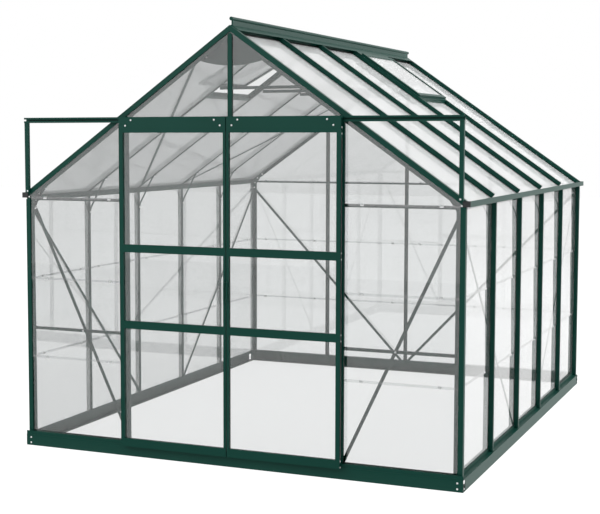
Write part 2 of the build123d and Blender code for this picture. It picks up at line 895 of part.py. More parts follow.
with BuildPart() as vent_glass:
    for plane in (left_vent_plane, right_vent_plane):
        with BuildSketch(plane.offset((vent_height - glass) / 2)):
            with Locations((0, -vent_length / 2)):
                cover = 2 * (vent_side - pane_inset)
                Rectangle(vent_width - cover, vent_length - cover)
        extrude(amount=glass)
keep(vent_glass, "vent_glass")

with BuildPart() as vent_sills:
    for side, bay in ((-1, left_vent_index), (1, right_vent_index)):
        middle = side * (side_bars[bay - 1] + side_bars[bay]) / 2
        frame = roof_frame(side)
        spot = frame.from_local_coords(Vector(middle, -vent_end, -cover_seat))
        with BuildSketch(Plane(origin=spot, x_dir=frame.x_dir, z_dir=frame.z_dir)):
            Rectangle(side_bay - bar_body - 2 * edge_gap, vent_sill_width)
        extrude(amount=cover_seat - joint_gap)
keep(vent_sills, "vent_sills")

# Door track: a channel open to the front, with lips, along the whole front
track_top = header_top
with BuildPart() as door_track:
    track_start, track_end = (-track_half, front_y, track_top), (track_half, front_y, track_top)
    with BuildSketch(along(track_start, track_end, (0, -1, 0))):
        with BuildLine():
            Polyline(
                (0, 0),
                (0, track_depth),
                (-track_lip, track_depth),
                (-track_lip, track_depth - track_wall),
                (-track_wall, track_depth - track_wall),
                (-track_wall, track_wall),
                (track_wall - track_height, track_wall),
                (track_wall - track_height, track_depth - track_wall),
                (track_lip - track_height, track_depth - track_wall),
                (track_lip - track_height, track_depth),
                (-track_height, track_depth),
                (-track_height, 0),
                close=True,
            )
        make_face()
    extrude(amount=2 * track_half)
keep(door_track, "door_track")

# Legs that carry the track's ends, standing on the gable corners
support_foot = eaves_height
support_height = track_top - track_height - support_foot
with BuildPart() as track_supports:
    for side in (-1, 1):
        middle = (side * (track_half - support_width / 2), front_y - support_depth / 2)
        with BuildSketch(Plane.XY.offset(support_foot)):
            with Locations(middle):
                Rectangle(support_width, support_depth)
                hollow = (support_width - 2 * support_wall, support_depth - 2 * support_wall)
                Rectangle(*hollow, mode=Mode.SUBTRACT)
        extrude(amount=support_height)
keep(track_supports, "track_supports")

# Doors
door_back = front_y - door_standoff
door_front = door_back - door_depth
door_middle_y = door_back - door_depth / 2
door_top = header_top
rail_bands = [
    (door_bottom, door_bottom + bottom_rail),
    *[(low, low + middle_rail) for low in middle_rail_bottoms],
    (door_top - top_rail, door_top),
]
stile_top = door_top - top_rail
inner_edge = door_gap / 2
groove = glass + 2 * glass_gap


def door_stiles(side):
    """Hollow outer stile and slim meeting stile, grooved for the glass on their inner sides."""
    outer_start = door_edge - outer_stile
    stile_middles = (side * (outer_start + outer_stile / 2), side * (inner_edge + meeting_stile / 2))
    groove_middles = (
        side * (outer_start + groove_depth / 2),
        side * (inner_edge + meeting_stile - groove_depth / 2),
    )
    with BuildPart() as stiles:
        with BuildSketch(Plane.XY.offset(door_bottom)):
            for middle, width in zip(stile_middles, (outer_stile, meeting_stile)):
                with Locations((middle, door_middle_y)):
                    Rectangle(width, door_depth)
            for middle in groove_middles:
                with Locations((middle, door_middle_y)):
                    Rectangle(groove_depth, groove, mode=Mode.SUBTRACT)
            core_width = outer_stile - groove_depth - 2 * door_wall
            with Locations((side * (door_edge - door_wall - core_width / 2), door_middle_y)):
                Rectangle(core_width, door_depth - 2 * door_wall, mode=Mode.SUBTRACT)
        extrude(amount=stile_top - door_bottom)
    return stiles


def door_rails(side):
    """Bottom, two middle and top rail, grooved for the glass above and below."""
    with BuildPart() as rails:
        for n, (low, high) in enumerate(rail_bands):
            last = n == len(rail_bands) - 1
            start = inner_edge if last else inner_edge + meeting_stile
            end = door_edge if last else door_edge - outer_stile
            with BuildSketch(Plane.YZ.offset(side * start)):
                with Locations((door_middle_y, (low + high) / 2)):
                    Rectangle(door_depth, high - low)
                    core = high - low - 2 * (groove_depth + door_wall)
                    Rectangle(door_depth - 2 * door_wall, core, mode=Mode.SUBTRACT)
                if n > 0:
                    with Locations((door_middle_y, low + groove_depth / 2)):
                        Rectangle(groove, groove_depth, mode=Mode.SUBTRACT)
                if not last:
                    with Locations((door_middle_y, high - groove_depth / 2)):
                        Rectangle(groove, groove_depth, mode=Mode.SUBTRACT)
            extrude(amount=side * (end - start))
    return rails


def door_glass(side):
    """Three panes between the rails, seated in the grooves."""
    left = inner_edge + meeting_stile - pane_inset
    right = door_edge - outer_stile + pane_inset
    with BuildPart() as sheet:
        for n in range(len(rail_bands) - 1):
            low = rail_bands[n][1] - pane_inset
            high = rail_bands[n + 1][0] + pane_inset
            with Locations((side * (left + right) / 2, door_middle_y, (low + high) / 2)):
                Box(right - left, glass, high - low)
    return sheet


def door_rollers(side):
    """Two wheels on axles, running on the floor of the track."""
    wheel_z = track_top - track_height + track_wall + roller_gap + roller_radius
    wheel_back = front_y - track_wall - roller_width / 2
    axle_length = door_standoff - (front_y - wheel_back)
    with BuildPart() as rollers:
        for x in (inner_edge + roller_inset, door_edge - roller_inset):
            for radius, reach in ((roller_radius, roller_width), (axle_radius, axle_length)):
                with BuildSketch(front_view(wheel_back)):
                    with Locations((side * x, wheel_z)):
                        Circle(radius)
                extrude(amount=reach)
    return rollers


def door_guides(side):
    """Two forked glides under the door, straddling the rib on the base."""
    rib_front = front_base_y + rib_setback
    rib_back = rib_front + rib_thickness
    fork_back = rib_back + roller_gap + guide_leg
    low = base_height + guide_clearance
    slot_top = base_height + rib_height + roller_gap
    with BuildPart() as guides:
        for x in (inner_edge + roller_inset, door_edge - roller_inset):
            with Locations((side * x, (door_back + fork_back) / 2, low + guide_height / 2)):
                Box(guide_length, fork_back - door_back, guide_height)
            with Locations((side * x, (rib_front + rib_back) / 2, (low + slot_top) / 2)):
                Box(guide_length, rib_thickness + 2 * roller_gap, slot_top - low, mode=Mode.SUBTRACT)
    return guides


def door_handle(side):
    """Upright grip on the meeting stile, flush with the edge that meets the other door."""
    grip_x = side * (inner_edge + handle_width / 2)
    with BuildPart() as grip:
        with Locations((grip_x, door_front - handle_reach / 2, handle_middle)):
            Box(handle_width, handle_reach, handle_height)
        fillet(grip.edges().filter_by(Axis.Z).group_by(Axis.Y)[0], radius=handle_width / 4)
    return grip


for side, door in ((-1, "left_door"), (1, "right_door")):
    keep(door_stiles(side), f"{door}_stiles")
    keep(door_rails(side), f"{door}_rails")
    keep(door_glass(side), f"{door}_glass")
    keep(door_rollers(side), f"{door}_rollers")
    keep(door_guides(side), f"{door}_guides")
    keep(door_handle(side), f"{door}_handle")
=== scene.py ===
"""Looks of the glass greenhouse: paint, glass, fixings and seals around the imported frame.

X runs along the front, Y towards the back gable, Z up. All sizes are in metres.
"""

import math

import bpy
import numpy as np
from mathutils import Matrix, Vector


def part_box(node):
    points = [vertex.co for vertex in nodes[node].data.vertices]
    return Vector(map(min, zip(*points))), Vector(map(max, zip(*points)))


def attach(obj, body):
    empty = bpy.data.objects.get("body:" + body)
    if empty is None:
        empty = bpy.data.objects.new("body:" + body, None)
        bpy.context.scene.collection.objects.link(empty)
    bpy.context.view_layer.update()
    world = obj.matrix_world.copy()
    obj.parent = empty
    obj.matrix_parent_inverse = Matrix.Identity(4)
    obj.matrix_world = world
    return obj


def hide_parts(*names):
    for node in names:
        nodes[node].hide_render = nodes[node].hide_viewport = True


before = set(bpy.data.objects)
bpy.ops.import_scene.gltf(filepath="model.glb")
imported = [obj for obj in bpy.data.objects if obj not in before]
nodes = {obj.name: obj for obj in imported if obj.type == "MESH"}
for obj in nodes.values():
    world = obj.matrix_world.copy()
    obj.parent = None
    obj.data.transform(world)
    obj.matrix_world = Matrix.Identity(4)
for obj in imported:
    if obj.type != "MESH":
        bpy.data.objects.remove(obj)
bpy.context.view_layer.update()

# Camera that fits the vanishing points of the photograph
photo_width, photo_height = 600, 514
optical_centre = (258.8, 243.6)
camera_place = (2.916, -7.811, 1.767)
camera_turn = math.radians(23.69)
camera_dip = math.radians(4.67)
camera_lens = 78.34
sensor_width = 36.0

camera_data = bpy.data.cameras.new("camera")
camera_data.lens = camera_lens
camera_data.sensor_width = sensor_width
camera_data.shift_x = 0.5 - optical_centre[0] / photo_width
camera_data.shift_y = (optical_centre[1] - photo_height / 2) / photo_width
camera = bpy.data.objects.new("camera", camera_data)
camera.location = camera_place
camera.rotation_euler = (math.pi / 2 - camera_dip, 0, camera_turn)
bpy.context.scene.collection.objects.link(camera)
bpy.context.scene.camera = camera
bpy.context.scene.view_settings.view_transform = "Standard"


def link(tree, source, target):
    """Link one socket to another in a node tree."""
    tree.links.new(source, target)


def feed(tree, value, target):
    """Link a socket to the target, or give the target a plain number."""
    if isinstance(value, bpy.types.NodeSocket):
        link(tree, value, target)
    else:
        target.default_value = value


def worked_out(tree, operation, first, second):
    """Result of a maths node on two values, each a socket or a number."""
    node = tree.nodes.new("ShaderNodeMath")
    node.operation = operation
    feed(tree, first, node.inputs[0])
    feed(tree, second, node.inputs[1])
    return node.outputs[0]


def mixed_value(tree, factor, low, high):
    """Value that goes from low to high with the factor."""
    mix = tree.nodes.new("ShaderNodeMix")
    mix.data_type = "FLOAT"
    feed(tree, factor, mix.inputs["Factor"])
    feed(tree, low, mix.inputs["A"])
    feed(tree, high, mix.inputs["B"])
    return mix.outputs["Result"]


def seen_directly(tree, path):
    """1 on camera, glossy and transmission rays, 0 on rays that only carry light."""
    seen = path.outputs["Is Camera Ray"]
    for name in ("Is Glossy Ray", "Is Transmission Ray"):
        seen = worked_out(tree, "MAXIMUM", seen, path.outputs[name])
    return seen


# White surroundings: full white where seen, softer as light on the object
sky_light = 0.75
sky_seen = 1.0


def white_surroundings():
    """World that is white to the eye and a little dimmer as a light."""
    world = bpy.data.worlds.new("studio")
    world.use_nodes = True
    tree = world.node_tree
    background = tree.nodes["Background"]
    background.inputs["Color"].default_value = (1, 1, 1, 1)
    seen = seen_directly(tree, tree.nodes.new("ShaderNodeLightPath"))
    link(tree, mixed_value(tree, seen, sky_light, sky_seen), background.inputs["Strength"])
    return world


bpy.context.scene.world = white_surroundings()

# Floor that ends in front of the doors, where the glass mirrors its edge
floor_front = -11.9
floor_back = 30.0
floor_side = 30.0
floor_seen = 0.95
floor_light = 0.3
floor_mirrored = 0.3
floor_dim_from = -1.7
floor_colour = 0.25


def floor_finish():
    """Pale floor that glows: brightest where seen, dimmer as light, and dim in mirrors.

    The mirrored glow holds only for reflections of the floor in front of floor_dim_from.
    """
    material = bpy.data.materials.new("pale_floor")
    material.use_nodes = True
    tree = material.node_tree
    tree.nodes.remove(tree.nodes["Principled BSDF"])
    path = tree.nodes.new("ShaderNodeLightPath")
    place = tree.nodes.new("ShaderNodeNewGeometry").outputs["Position"]
    spot = tree.nodes.new("ShaderNodeSeparateXYZ")
    link(tree, place, spot.inputs["Vector"])
    in_front = worked_out(tree, "LESS_THAN", spot.outputs["Y"], floor_dim_from)
    dimmed = worked_out(tree, "MULTIPLY", in_front, path.outputs["Is Reflection Ray"])
    undimmed_glow = mixed_value(tree, seen_directly(tree, path), floor_light, floor_seen)
    glow = tree.nodes.new("ShaderNodeEmission")
    link(tree, mixed_value(tree, dimmed, undimmed_glow, floor_mirrored), glow.inputs["Strength"])
    diffuse = tree.nodes.new("ShaderNodeBsdfDiffuse")
    diffuse.inputs["Color"].default_value = (floor_colour, floor_colour, floor_colour, 1)
    both = tree.nodes.new("ShaderNodeAddShader")
    link(tree, diffuse.outputs[0], both.inputs[0])
    link(tree, glow.outputs[0], both.inputs[1])
    link(tree, both.outputs[0], tree.nodes["Material Output"].inputs["Surface"])
    return material


floor_corners = [
    (-floor_side, floor_front, 0),
    (floor_side, floor_front, 0),
    (floor_side, floor_back, 0),
    (-floor_side, floor_back, 0),
]
floor_mesh = bpy.data.meshes.new("floor")
floor_mesh.from_pydata(floor_corners, [], [(0, 1, 2, 3)])
floor_mesh.materials.append(floor_finish())
floor = bpy.data.objects.new("floor", floor_mesh)
bpy.context.scene.collection.objects.link(floor)

# Two soft lamps, turned to the middle of the greenhouse
lamp_target = (0, 0, 1)
lamp_width = 6.0


def soft_lamp(name, place, power):
    """Square area lamp at place, turned to the lamps' common target."""
    lamp = bpy.data.lights.new(name, "AREA")
    lamp.shape = "SQUARE"
    lamp.size = lamp_width
    lamp.energy = power
    holder = bpy.data.objects.new(name, lamp)
    holder.location = place
    way = Vector(lamp_target) - Vector(place)
    holder.rotation_euler = way.to_track_quat("-Z", "Y").to_euler()
    holder.visible_camera = False
    bpy.context.scene.collection.objects.link(holder)


soft_lamp("key_lamp", place=(7, 6, 6), power=500)
soft_lamp("fill_lamp", place=(-6, -8, 6), power=250)


def group_of(name, inputs, outputs):
    """Empty shader node group with named inputs and outputs."""
    group = bpy.data.node_groups.new(name, "ShaderNodeTree")
    for socket, kind, value in inputs:
        made = group.interface.new_socket(socket, in_out="INPUT", socket_type=kind)
        if value is not None:
            made.default_value = value
    for socket, kind in outputs:
        group.interface.new_socket(socket, in_out="OUTPUT", socket_type=kind)
    return group, group.nodes.new("NodeGroupInput"), group.nodes.new("NodeGroupOutput")


def grain_group():
    """Fine surface grain: its height, and a roughness that follows it."""
    inputs = [
        ("Place", "NodeSocketVector", None),
        ("Scale", "NodeSocketFloat", 500.0),
        ("Smooth", "NodeSocketFloat", 0.3),
        ("Rough", "NodeSocketFloat", 0.5),
    ]
    outputs = [("Height", "NodeSocketFloat"), ("Roughness", "NodeSocketFloat")]
    group, ins, outs = group_of("surface_grain", inputs, outputs)
    noise = group.nodes.new("ShaderNodeTexNoise")
    noise.inputs["Detail"].default_value = 3.0
    link(group, ins.outputs["Place"], noise.inputs["Vector"])
    link(group, ins.outputs["Scale"], noise.inputs["Scale"])
    spread = group.nodes.new("ShaderNodeMapRange")
    link(group, noise.outputs["Fac"], spread.inputs["Value"])
    link(group, ins.outputs["Smooth"], spread.inputs["To Min"])
    link(group, ins.outputs["Rough"], spread.inputs["To Max"])
    link(group, noise.outputs["Fac"], outs.inputs["Height"])
    link(group, spread.outputs["Result"], outs.inputs["Roughness"])
    return group


def tone_group():
    """Slow change of tone over a surface, from one colour to another."""
    inputs = [
        ("Place", "NodeSocketVector", None),
        ("Scale", "NodeSocketFloat", 3.0),
        ("Dark", "NodeSocketColor", (0.01, 0.01, 0.01, 1)),
        ("Light", "NodeSocketColor", (0.02, 0.02, 0.02, 1)),
    ]
    group, ins, outs = group_of("slow_tone", inputs, [("Color", "NodeSocketColor")])
    noise = group.nodes.new("ShaderNodeTexNoise")
    noise.inputs["Detail"].default_value = 4.0
    link(group, ins.outputs["Place"], noise.inputs["Vector"])
    link(group, ins.outputs["Scale"], noise.inputs["Scale"])
    mix = group.nodes.new("ShaderNodeMix")
    mix.data_type = "RGBA"
    factor, dark, light = mix.inputs[0], mix.inputs[6], mix.inputs[7]
    mixed_colour = mix.outputs[2]
    link(group, noise.outputs["Fac"], factor)
    link(group, ins.outputs["Dark"], dark)
    link(group, ins.outputs["Light"], light)
    link(group, mixed_colour, outs.inputs["Color"])
    return group


surface_grain = grain_group()
slow_tone = tone_group()
grain_height = 0.0002


def principled(name):
    """New material, its node tree and its Principled node."""
    material = bpy.data.materials.new(name)
    material.use_nodes = True
    return material, material.node_tree, material.node_tree.nodes["Principled BSDF"]


def coated(name, dark, light, tone_scale, grain_scale, smooth, rough, bump):
    """Opaque finish: two close tones, a roughness range and a fine bump."""
    material, tree, shader = principled(name)
    place = tree.nodes.new("ShaderNodeTexCoord").outputs["Object"]
    tone = tree.nodes.new("ShaderNodeGroup")
    tone.node_tree = slow_tone
    tone.inputs["Scale"].default_value = tone_scale
    tone.inputs["Dark"].default_value = (*dark, 1)
    tone.inputs["Light"].default_value = (*light, 1)
    grain = tree.nodes.new("ShaderNodeGroup")
    grain.node_tree = surface_grain
    grain.inputs["Scale"].default_value = grain_scale
    grain.inputs["Smooth"].default_value = smooth
    grain.inputs["Rough"].default_value = rough
    relief = tree.nodes.new("ShaderNodeBump")
    relief.inputs["Strength"].default_value = bump
    relief.inputs["Distance"].default_value = grain_height
    link(tree, place, tone.inputs["Place"])
    link(tree, place, grain.inputs["Place"])
    link(tree, tone.outputs["Color"], shader.inputs["Base Color"])
    link(tree, grain.outputs["Roughness"], shader.inputs["Roughness"])
    link(tree, grain.outputs["Height"], relief.inputs["Height"])
    link(tree, relief.outputs["Normal"], shader.inputs["Normal"])
    return material, shader


def green_paint():
    """Dark green powder coat with a faint orange peel."""
    material, shader = coated(
        "green_powder_coat",
        dark=(0.0035, 0.050, 0.036),
        light=(0.0050, 0.062, 0.045),
        tone_scale=2.5,
        grain_scale=700.0,
        smooth=0.34,
        rough=0.46,
        bump=0.15,
    )
    shader.inputs["Specular IOR Level"].default_value = 0.15
    return material


def zinc():
    """Bright zinc plate of bolts and clips."""
    material, shader = coated(
        "bright_zinc",
        dark=(0.78, 0.80, 0.80),
        light=(0.90, 0.92, 0.92),
        tone_scale=60.0,
        grain_scale=900.0,
        smooth=0.22,
        rough=0.40,
        bump=0.1,
    )
    shader.inputs["Metallic"].default_value = 0.5
    return material


def plastic(name, dark, light):
    """Moulded plastic or rubber with a fine mould grain."""
    material, shader = coated(
        name,
        dark=dark,
        light=light,
        tone_scale=20.0,
        grain_scale=1200.0,
        smooth=0.38,
        rough=0.55,
        bump=0.2,
    )
    shader.inputs["Specular IOR Level"].default_value = 0.4
    return material


def glass_pane(name, tint, bend, clear):
    """Horticultural glass: its tint, how far it bends light, and the share that is clear."""
    material, _, shader = principled(name)
    shader.inputs["Base Color"].default_value = (*tint, 1)
    shader.inputs["Roughness"].default_value = 0.0
    shader.inputs["IOR"].default_value = bend
    shader.inputs["Transmission Weight"].default_value = clear
    return material


paint = green_paint()
bright_zinc = zinc()
pane_glass = glass_pane("clear_glass", tint=(0.79, 0.80, 0.80), bend=1.9, clear=1.0)
wall_pane_glass = glass_pane("wall_glass", tint=(0.80, 0.81, 0.81), bend=1.9, clear=0.9)
# Roof and vent panes are half white diffuse, lit by the lamps: painted reflection that stands in for the
# bright surroundings mirrored on the roof glass
roof_pane_glass = glass_pane("roof_glass_painted_reflection", tint=(0.93, 0.94, 0.94), bend=1.1, clear=0.5)
cap_plastic = plastic("grey_moulded_plastic", dark=(0.018, 0.021, 0.021), light=(0.030, 0.033, 0.033))
black_plastic = plastic("black_nylon", dark=(0.008, 0.009, 0.009), light=(0.014, 0.015, 0.015))
black_rubber = plastic("black_rubber", dark=(0.004, 0.004, 0.004), light=(0.008, 0.008, 0.008))

# Finish by the ending of a node's name, the longer endings first, and paint on all others
finishes = {
    "roof_glass": roof_pane_glass,
    "vent_glass": roof_pane_glass,
    "wall_glass": wall_pane_glass,
    "glass": pane_glass,
    "end_caps": cap_plastic,
    "rollers": black_plastic,
    "guides": black_plastic,
}
for name, node in nodes.items():
    ending = next((end for end in finishes if name.endswith(end)), None)
    node.data.materials.clear()
    node.data.materials.append(finishes.get(ending, paint))

# Measures of the frame's sections and panes
roof_pitch = math.radians(35.1)
frame_depth = 0.033
nose_half = 0.0125
bar_body_half = 0.0095
glass_thickness = 0.003
glass_gap = 0.0003
glass_lap = 0.012
gusset_thickness = 0.003
side_bays = 5
gable_bays = 4

# Depth of the seats that the panes lie on, below the outside of the frame
gable_seat = 0.0094
wall_seat = 0.0309

# Laps of the panes: heights on walls and gables, the gables' top lap by its drop below the
# eaves, and the roof's by its distance down from the apex
lap_heights = (0.510, 0.960)
eaves_lap_drop = 0.035
roof_lap_place = 0.800

# Places of the frame's planes and bars
posts_low, posts_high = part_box("corner_posts")
front_y, back_y, wall_x = posts_low.y, posts_high.y, posts_high.x
front_in, back_in, inner_x = front_y + frame_depth, back_y - frame_depth, wall_x - frame_depth
eaves_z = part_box("right_eaves")[1].z
eaves_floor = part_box("right_wall_bars")[1].z
roof_rise = 0.0015
apex_z = eaves_z + roof_rise + wall_x * math.tan(roof_pitch)
side_places = np.linspace(front_y, back_y - frame_depth, side_bays + 1) + frame_depth / 2
gable_places = np.linspace(-wall_x, wall_x - frame_depth, gable_bays + 1) + frame_depth / 2
inner_bars = side_places[1:-1]


def roof_height(x):
    """Height of the outside of the roof bars at x."""
    return apex_z - abs(x) * math.tan(roof_pitch)


def roof_out(side):
    """Direction square to a roof slope and outwards: side is 1 on the right and -1 on the left."""
    return np.array([side * math.sin(roof_pitch), 0, math.cos(roof_pitch)])


def under_roof(x, depth):
    """Point (x, z) straight below the outside of the roof bars, the depth square to the slope."""
    return x, roof_height(x) - depth / math.cos(roof_pitch)


def on_slope(distance, height):
    """Point (x, z) of the right slope: distance down from the apex, height square to the bars."""
    return (
        distance * math.cos(roof_pitch) + height * math.sin(roof_pitch),
        apex_z - distance * math.sin(roof_pitch) + height * math.cos(roof_pitch),
    )


def both_sides(places):
    """The same (x, y, z) places on the right and on the left."""
    places = np.atleast_2d(np.asarray(places, float))
    return np.vstack([places, places * (-1, 1, 1)])


def swept(rings):
    """Closed skin over rings of points that each run anticlockwise about the way of travel.

    Each ring is joined to the one after it by quads, and each end is closed by a fan about
    its middle, so an end's outline has to be convex.
    """
    count, sides = rings.shape[:2]
    points = np.vstack([rings.reshape(-1, 3), rings[0].mean(0), rings[-1].mean(0)])
    corner = np.arange(sides)
    after = (corner + 1) % sides
    ring_start = np.arange(count - 1)[:, None] * sides
    walls = np.stack([corner, after, sides + after, sides + corner], axis=-1) + ring_start[..., None]
    last_start = (count - 1) * sides
    first_middle, last_middle = np.full(sides, count * sides), np.full(sides, count * sides + 1)
    foot = np.stack([first_middle, after, corner], axis=1)
    crown = np.stack([last_middle, last_start + corner, last_start + after], axis=1)
    return points, walls.reshape(-1, 4), np.vstack([foot, crown])


def turned(profile, sides):
    """Profile of (radius, height) points turned about Z: each ring is radius * (cos a, sin a)."""
    profile = np.asarray(profile, float)
    angle = np.arange(sides) * 2 * np.pi / sides
    rings = np.empty((len(profile), sides, 3))
    rings[..., :2] = profile[:, :1, None] * np.stack([np.cos(angle), np.sin(angle)], axis=1)
    rings[..., 2] = profile[:, 1:]
    return swept(rings)


def strip(path, width, thickness):
    """Flat strip bent along (y, z) points, its width along X, its thickness square to the path."""
    path = np.asarray(path, float)
    way = np.gradient(path, axis=0)
    way /= np.linalg.norm(way, axis=1, keepdims=True)
    across = np.stack([way[:, 1], -way[:, 0]], axis=1)
    corners = np.array([(-0.5, -0.5), (0.5, -0.5), (0.5, 0.5), (-0.5, 0.5)])
    rings = np.empty((len(path), 4, 3))
    rings[..., 0] = corners[:, 0] * width
    rings[..., 1:] = path[:, None] + corners[None, :, 1:] * thickness * across[:, None]
    return swept(rings)


def upright_plate(outline, front, thickness):
    """Flat plate: convex (x, z) outline, anticlockwise as seen from the front, carried along Y."""
    outline = np.asarray(outline, float)
    rings = np.empty((2, len(outline), 3))
    rings[:, :, 0], rings[:, :, 2] = outline[:, 0], outline[:, 1]
    rings[0, :, 1], rings[1, :, 1] = front + thickness, front
    return swept(rings)


def slope_plates(outline, front, thickness, sides=(-1, 1)):
    """A plate of the right slope, where sides has 1, and its mirror image, where it has -1."""
    mirror_image = [(-x, z) for x, z in reversed(outline)]
    return [upright_plate(outline if side > 0 else mirror_image, front, thickness) for side in sides]


bend_points = 7


def rounded(path, reach):
    """Path with each inner corner b replaced by the curve (1-t)^2 a + 2t(1-t) b + t^2 c.

    a and c lie on the two runs beside the corner, the reach away from it.
    """
    path = np.asarray(path, float)
    t = np.linspace(0, 1, bend_points)[:, None]
    back = path[:-2] - path[1:-1]
    ahead = path[2:] - path[1:-1]
    a = path[1:-1] + reach * back / np.linalg.norm(back, axis=1, keepdims=True)
    c = path[1:-1] + reach * ahead / np.linalg.norm(ahead, axis=1, keepdims=True)
    curves = [(1 - t) ** 2 * p + 2 * t * (1 - t) * b + t**2 * q for p, b, q in zip(a, path[1:-1], c)]
    return np.vstack([path[:1], *curves, path[-1:]])


def joined(shapes):
    """Several shapes as one, their corner numbers shifted past the points before them."""
    starts = np.cumsum([0] + [len(points) for points, _, _ in shapes[:-1]])
    return (
        np.vstack([points for points, _, _ in shapes]),
        np.vstack([quads + start for (_, quads, _), start in zip(shapes, starts)]),
        np.vstack([tris + start for (_, _, tris), start in zip(shapes, starts)]),
    )


def placed(shape, places, outward):
    """Copies of a shape: its Z follows the outward direction, its Y points as far up as it can.

    Each point goes to place + x * level + y * up + z * outward. Where outward is within about
    18 degrees of upright, Y points towards the back instead.
    """
    points, quads, tris = shape
    places = np.atleast_2d(np.asarray(places, float))
    out = np.broadcast_to(np.asarray(outward, float), places.shape)
    out = out / np.linalg.norm(out, axis=1, keepdims=True)
    guide = np.where(np.abs(out[:, 2:]) > 0.95, (0.0, 1.0, 0.0), (0.0, 0.0, 1.0))
    level = np.cross(guide, out)
    level /= np.linalg.norm(level, axis=1, keepdims=True)
    axes = np.stack([level, np.cross(out, level), out], axis=1)
    moved = places[:, None] + np.einsum("pk,ckj->cpj", points, axes)
    shift = np.arange(len(places))[:, None, None] * len(points)
    return moved.reshape(-1, 3), (quads + shift).reshape(-1, 4), (tris + shift).reshape(-1, 3)


def new_piece(name, shape, material, body="frame", smooth=False):
    """Piece made of quads and triangles that rides on a body."""
    points, quads, tris = shape
    corners = np.concatenate([quads.ravel(), tris.ravel()])
    counts = np.repeat([4, 3], [len(quads), len(tris)])
    mesh = bpy.data.meshes.new(name)
    mesh.vertices.add(len(points))
    mesh.vertices.foreach_set("co", points.ravel())
    mesh.loops.add(len(corners))
    mesh.loops.foreach_set("vertex_index", corners)
    mesh.polygons.add(len(counts))
    mesh.polygons.foreach_set("loop_start", np.cumsum(counts) - counts)
    mesh.update(calc_edges=True)
    mesh.validate()
    mesh.polygons.foreach_set("use_smooth", np.full(len(counts), smooth))
    mesh.materials.append(material)
    piece = bpy.data.objects.new(name, mesh)
    bpy.context.scene.collection.objects.link(piece)
    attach(piece, body)
    return piece


# Flanges inside posts and rafters, right behind the gable glass, seen grey through it
flange_reach = 0.0165
flange_thickness = 0.002
flange_depth = 0.0096


def gable_flange_shape():
    """Flat plates along the corner posts and under the rafters of both gables."""
    sill_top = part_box("sills")[1].z
    flange_x = inner_x - flange_reach
    inner_depth = frame_depth + flange_reach
    corner_out, corner_in = under_roof(inner_x, frame_depth), under_roof(flange_x, inner_depth)
    king_out, king_in = under_roof(nose_half, frame_depth), under_roof(nose_half, inner_depth)
    along_post = [(inner_x, sill_top), corner_out, corner_in, (flange_x, sill_top)]
    along_rafter = [corner_out, king_out, king_in, corner_in]
    plates = []
    for low_y in (front_y + flange_depth, back_y - flange_depth - flange_thickness):
        for outline in (along_post, along_rafter):
            plates += slope_plates(outline, low_y, flange_thickness)
    return joined(plates)


# Inner flanges of the eaves, over the heads of the wall bars
eaves_flange_drop = 0.018
eaves_flange_rise = 0.014
eaves_flange_end_gap = 0.0035


def eaves_flange_shape():
    """Upright strip along each wall, from one gable's gusset plates to the other's."""
    low, high = eaves_floor - eaves_flange_drop, eaves_floor + eaves_flange_rise
    run = [(low, -flange_thickness / 2), (high, -flange_thickness / 2)]
    flange = strip(run, back_in - front_in - 2 * eaves_flange_end_gap, flange_thickness)
    middle_y = (front_in + back_in) / 2
    return joined([placed(flange, (side * inner_x, middle_y, 0), (side, 0, 0)) for side in (-1, 1)])


new_piece("gable_flanges", gable_flange_shape(), paint)
new_piece("eaves_flanges", eaves_flange_shape(), paint)

# Ridge cap in two lengths over the web between the bars, with longer wings over the vents
wing_length = 0.048
vent_wing_length = 0.086
wing_thickness = 0.0025
web_half = 0.004
web_depth = 0.045
crest_radius = 0.010
crest_sides = 24
joint_bar = 3
joint_gap = 0.0005

# Each vent's slope, -1 on the left and 1 on the right, and its bay counted from 0 at the front
left_vent, right_vent = (-1, 1), (1, 3)


def ridge_cap_shape():
    """Round crest and upright web, with a wing down each slope.

    A crest point is crest_radius * (cos a, sin a) about the crest's middle line.
    """
    ridge_low, ridge_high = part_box("ridge")
    crest_middle = ridge_high.z - crest_radius
    around = np.arange(crest_sides) * 2 * np.pi / crest_sides
    crest = np.stack([crest_radius * np.cos(around), crest_middle + crest_radius * np.sin(around)], axis=1)
    web_foot = apex_z - web_depth
    web = [
        (-web_half, web_foot),
        (web_half, web_foot),
        (web_half, crest_middle),
        (-web_half, crest_middle),
    ]
    wing_top = (0, apex_z + wing_thickness / math.cos(roof_pitch))
    wing = [(0, apex_z), on_slope(wing_length, 0), on_slope(wing_length, wing_thickness), wing_top]
    vent_wing = [
        on_slope(wing_length, 0),
        on_slope(vent_wing_length, 0),
        on_slope(vent_wing_length, wing_thickness),
        on_slope(wing_length, wing_thickness),
    ]
    joint_y = side_places[joint_bar]
    parts = []
    for start, end in ((ridge_low.y, joint_y), (joint_y + joint_gap, ridge_high.y)):
        parts += [upright_plate(crest, start, end - start), *slope_plates(wing, start, end - start)]
        web_start, web_end = max(start, front_in), min(end, back_in)
        parts.append(upright_plate(web, web_start, web_end - web_start))
    for side, bay in (left_vent, right_vent):
        start, end = side_places[bay] - nose_half, side_places[bay + 1] + nose_half
        parts += slope_plates(vent_wing, start, end - start, (side,))
    return joined(parts)


# Seal between the head of the roof panes and the ridge's web
head_seal_width = 0.012
head_seal_thickness = 0.004


def ridge_seal_shape():
    """Flat strip on the panes of each bay, from bar to bar and down from the web."""
    low = glass_gap + glass_thickness - wall_seat
    high = low + head_seal_thickness
    start = (web_half - low * math.sin(roof_pitch)) / math.cos(roof_pitch)
    end = start + head_seal_width
    outline = [on_slope(start, low), on_slope(end, low), on_slope(end, high), on_slope(start, high)]
    strips = []
    for bar, next_bar in zip(side_places[:-1], side_places[1:]):
        strips += slope_plates(outline, bar + bar_body_half, next_bar - bar - 2 * bar_body_half)
    return joined(strips)


